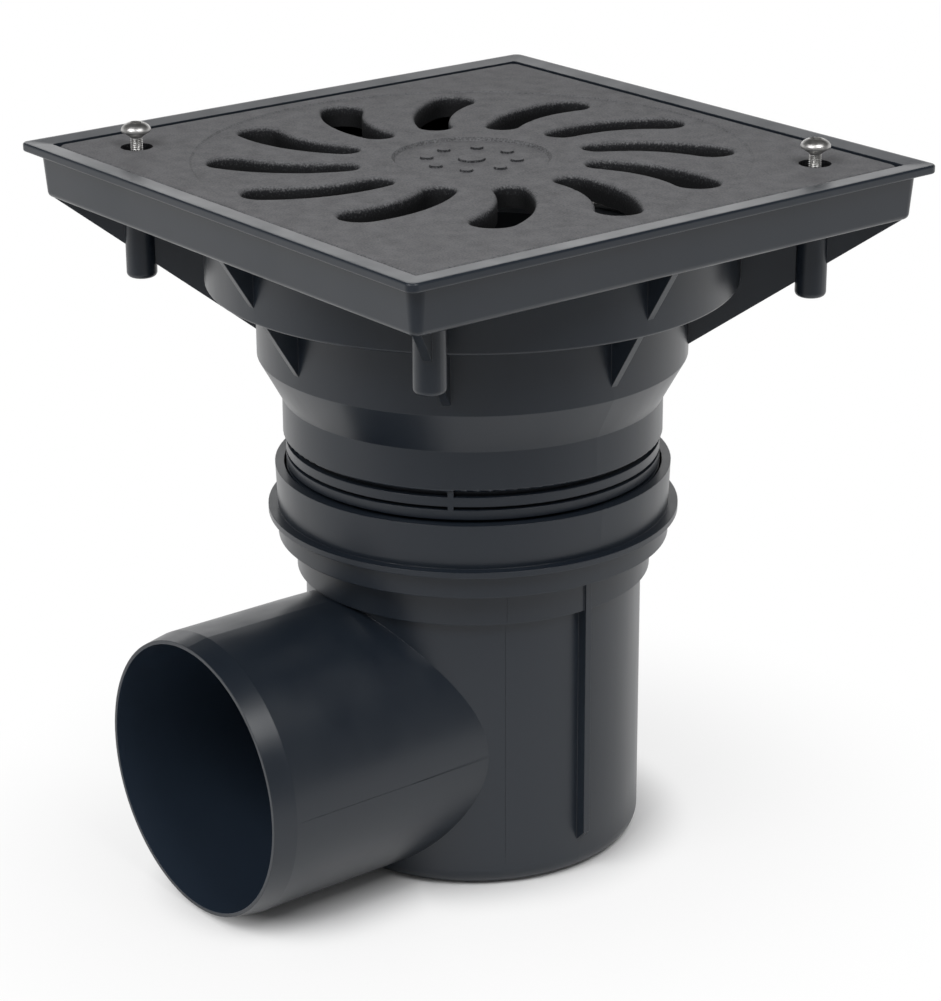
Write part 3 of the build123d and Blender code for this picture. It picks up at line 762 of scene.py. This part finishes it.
@dataclass(frozen=True)
class Studio:
    """A white sweep of floor under soft lamps, with a bright low backdrop behind the object."""

    floor_half: float = 4.0
    floor_shade: str = "#f4f4f4"
    outlet_end: float = 0.090
    outlet_contact: float = 0.030
    base_contact: float = 0.060
    shadow_reach: tuple[float, float] = (0.030, 0.160)
    shadow_share: float = 0.72
    table_end_way: tuple[float, float, float] = (0.78, -0.62, 0.0)
    table_end: tuple[float, float] = (0.20, 0.55)
    beyond_table: float = 0.45
    ambient: float = 0.38
    backdrop_way: tuple[float, float, float] = (-0.78, 0.62, 0.0)
    backdrop_side: tuple[float, float] = (-0.2, 0.4)
    backdrop_top: tuple[float, float] = (0.29, 0.46)
    front: float = 0.30
    dark: float = 0.04
    lamps: tuple[Softbox, ...] = (
        Softbox("key_softbox", (0.15, -1.10, 1.30), (0.0, -0.05, 0.15), (0.9, 0.7), 12.0),
        Softbox("side_softbox", (0.86, -0.04, 1.24), (0.0, -0.05, 0.15), (0.66, 0.66), 8.0),
        Softbox("rear_strip", (-1.35, 1.08, 0.68), (0.0, 0.0, 0.27), (1.8, 0.40), 1.9),
    )

    def build(self) -> None:
        """Builds the floor, the world and the lamps."""
        self.build_floor()
        self.build_world()
        for lamp in self.lamps:
            lamp.build()

    def build_floor(self) -> None:
        """Lays the floor, a painted square."""
        edge = self.floor_half
        corners = [(-edge, -edge, 0), (edge, -edge, 0), (edge, edge, 0), (-edge, edge, 0)]
        mesh = bpy.data.meshes.new("studio_floor")
        mesh.from_pydata(corners, [], [(0, 1, 2, 3)])
        mesh.materials.append(self.floor_paint())
        floor = bpy.data.objects.new("studio_floor", mesh)
        bpy.context.scene.collection.objects.link(floor)

    def shadow_clear(self, tree: bpy.types.NodeTree, place: bpy.types.NodeSocket) -> bpy.types.NodeSocket:
        """Works out how far a point on the floor is clear of the object's soft shadow.

        The gap runs from the base's disc or from the strip under the outlet, whichever is nearer. The shadow
        loses its larger share over a short reach of that gap, and the rest over a long one.

        Args:
            tree: the floor's node tree.
            place: the point on the floor, in Object coordinates.

        Returns:
            0 under the object, and 1 where no shadow shows.
        """
        axes = add_node(tree, "ShaderNodeSeparateXYZ", {0: place})
        along = add_node(
            tree, "ShaderNodeClamp", {"Value": axes.outputs["Y"], "Min": -self.outlet_end, "Max": 0.0}
        )
        nearest = add_node(tree, "ShaderNodeCombineXYZ", {"Y": along.outputs["Result"]})
        outlet = add_node(
            tree, "ShaderNodeVectorMath", {0: place, 1: nearest.outputs["Vector"]}, operation="DISTANCE"
        )
        axis = add_node(tree, "ShaderNodeVectorMath", {0: place}, operation="LENGTH")
        from_outlet = add_node(
            tree, "ShaderNodeMath", {0: outlet.outputs["Value"], 1: self.outlet_contact},
            operation="SUBTRACT",
        )
        from_base = add_node(
            tree, "ShaderNodeMath", {0: axis.outputs["Value"], 1: self.base_contact}, operation="SUBTRACT"
        )
        gap = add_node(
            tree, "ShaderNodeMath", {0: from_outlet.outputs["Value"], 1: from_base.outputs["Value"]},
            operation="MINIMUM",
        )
        near, far = (
            add_node(
                tree, "ShaderNodeMapRange",
                {"Value": gap.outputs["Value"], "From Max": reach, "To Max": share},
                interpolation_type="SMOOTHSTEP",
            )
            for reach, share in zip(self.shadow_reach, (self.shadow_share, 1 - self.shadow_share))
        )
        clear = add_node(
            tree, "ShaderNodeMath", {0: near.outputs["Result"], 1: far.outputs["Result"]}, operation="ADD"
        )
        return clear.outputs["Value"]

    def floor_paint(self) -> bpy.types.Material:
        """Makes the floor's matt paint, plain white away from the object for seen and mirrored rays.

        Returns:
            The finished material.
        """
        material, tree = new_material("painted_floor_matt")
        place = add_node(tree, "ShaderNodeTexCoord").outputs["Object"]
        rays = add_node(tree, "ShaderNodeLightPath")
        shown = add_node(
            tree, "ShaderNodeMath",
            {0: rays.outputs[Ray.CAMERA.value], 1: rays.outputs[Ray.GLOSSY.value]}, operation="MAXIMUM",
        )
        seen = add_node(
            tree, "ShaderNodeMath", {0: self.shadow_clear(tree, place), 1: shown.outputs["Value"]},
            operation="MULTIPLY",
        )
        paint = add_node(tree, "ShaderNodeBsdfDiffuse", {"Color": linear(self.floor_shade)})
        # the table ends in front of the object, so mirrored rays see less white there
        ahead = add_node(
            tree, "ShaderNodeVectorMath", {0: place, 1: self.table_end_way}, operation="DOT_PRODUCT"
        )
        table = add_node(
            tree, "ShaderNodeMapRange",
            {"Value": ahead.outputs["Value"], "From Min": self.table_end[0], "From Max": self.table_end[1],
             "To Min": 1.0, "To Max": self.beyond_table},
            interpolation_type="SMOOTHSTEP",
        )
        strength = add_node(
            tree, "ShaderNodeMath", {0: table.outputs["Result"], 1: rays.outputs[Ray.CAMERA.value]},
            operation="MAXIMUM",
        )
        white = add_node(tree, "ShaderNodeEmission", {"Strength": strength.outputs["Value"]})
        blend = add_node(
            tree, "ShaderNodeMixShader",
            {0: seen.outputs["Value"], 1: paint.outputs["BSDF"], 2: white.outputs["Emission"]},
        )
        add_node(tree, "ShaderNodeOutputMaterial", {"Surface": blend.outputs["Shader"]})
        return material

    def build_world(self) -> None:
        """Makes the surroundings: even light, white where seen, and a low white backdrop where mirrored."""
        world = bpy.data.worlds.new("studio")
        world.use_nodes = True
        tree = world.node_tree
        tree.nodes.clear()
        way = add_node(tree, "ShaderNodeTexCoord").outputs["Generated"]
        rise = add_node(tree, "ShaderNodeSeparateXYZ", {0: way})
        toward = add_node(
            tree, "ShaderNodeVectorMath", {0: way, 1: self.backdrop_way}, operation="DOT_PRODUCT"
        )
        sweep = add_node(
            tree, "ShaderNodeMapRange",
            {"Value": toward.outputs["Value"], "From Min": self.backdrop_side[0],
             "From Max": self.backdrop_side[1], "To Min": self.front, "To Max": 1.0},
            interpolation_type="SMOOTHSTEP",
        )
        low = add_node(
            tree, "ShaderNodeMapRange",
            {"Value": rise.outputs["Z"], "From Min": self.backdrop_top[0], "From Max": self.backdrop_top[1],
             "To Min": 1.0, "To Max": self.dark},
            interpolation_type="SMOOTHSTEP",
        )
        card = add_node(
            tree, "ShaderNodeMath", {0: sweep.outputs["Result"], 1: low.outputs["Result"]},
            operation="MULTIPLY",
        )
        rays = add_node(tree, "ShaderNodeLightPath")
        clear = add_node(
            tree, "ShaderNodeMath",
            {0: rays.outputs[Ray.CAMERA.value], 1: rays.outputs[Ray.TRANSMISSION.value]},
            operation="MAXIMUM",
        )
        mirrored = add_node(
            tree, "ShaderNodeMix",
            {"Factor": rays.outputs[Ray.GLOSSY.value], "A": self.ambient, "B": card.outputs["Value"]},
        )
        strength = add_node(
            tree, "ShaderNodeMix",
            {"Factor": clear.outputs["Value"], "A": mirrored.outputs[MIXED_VALUE], "B": 1.0},
        )
        light = add_node(tree, "ShaderNodeBackground", {"Strength": strength.outputs[MIXED_VALUE]})
        add_node(tree, "ShaderNodeOutputWorld", {"Surface": light.outputs["Background"]})
        bpy.context.scene.world = world


@dataclass(frozen=True)
class PhotoCamera:
    """The camera at the photograph's viewing angle, fitted to the model's own corners and rings."""

    azimuth: float = 51.59
    elevation: float = 20.73
    roll: float = -0.23
    place: tuple[float, float, float] = (0.8660, -0.6879, 0.5530)
    focal_px: float = 3040.0
    picture_px: tuple[int, int] = (941, 1001)
    sensor: float = 36.0

    def build(self) -> None:
        """Adds the camera and makes it the scene's own."""
        turn, tilt, roll = (math.radians(angle) for angle in (self.azimuth, self.elevation, self.roll))
        back = Vector((math.sin(turn) * math.cos(tilt), -math.cos(turn) * math.cos(tilt), math.sin(tilt)))
        right = Vector((math.cos(turn), math.sin(turn), 0.0))
        axes = Matrix((right, back.cross(right), back)).transposed() @ Matrix.Rotation(roll, 3, "Z")
        lens = bpy.data.cameras.new("photo_camera")
        lens.sensor_width = self.sensor
        lens.lens = self.focal_px / max(self.picture_px) * self.sensor
        camera = bpy.data.objects.new("photo_camera", lens)
        camera.matrix_world = Matrix.Translation(self.place) @ axes.to_4x4()
        bpy.context.scene.collection.objects.link(camera)
        bpy.context.scene.camera = camera


def main() -> None:
    """Builds the pieces, the studio and the camera in order."""
    logging.basicConfig(level=logging.INFO)
    bpy.context.scene.view_settings.view_transform = "Standard"
    made = {finish: finish.make() for finish in (BLACK_PP, GREY_PP, CAST_IRON, STAINLESS, EPDM)}
    for part in (TrapBody(), InletFrame(), GrateAndScrews(), OdourTrap()):
        part.dress(made)
    Studio().build()
    PhotoCamera().build()


if __name__ == "__main__":
    main()
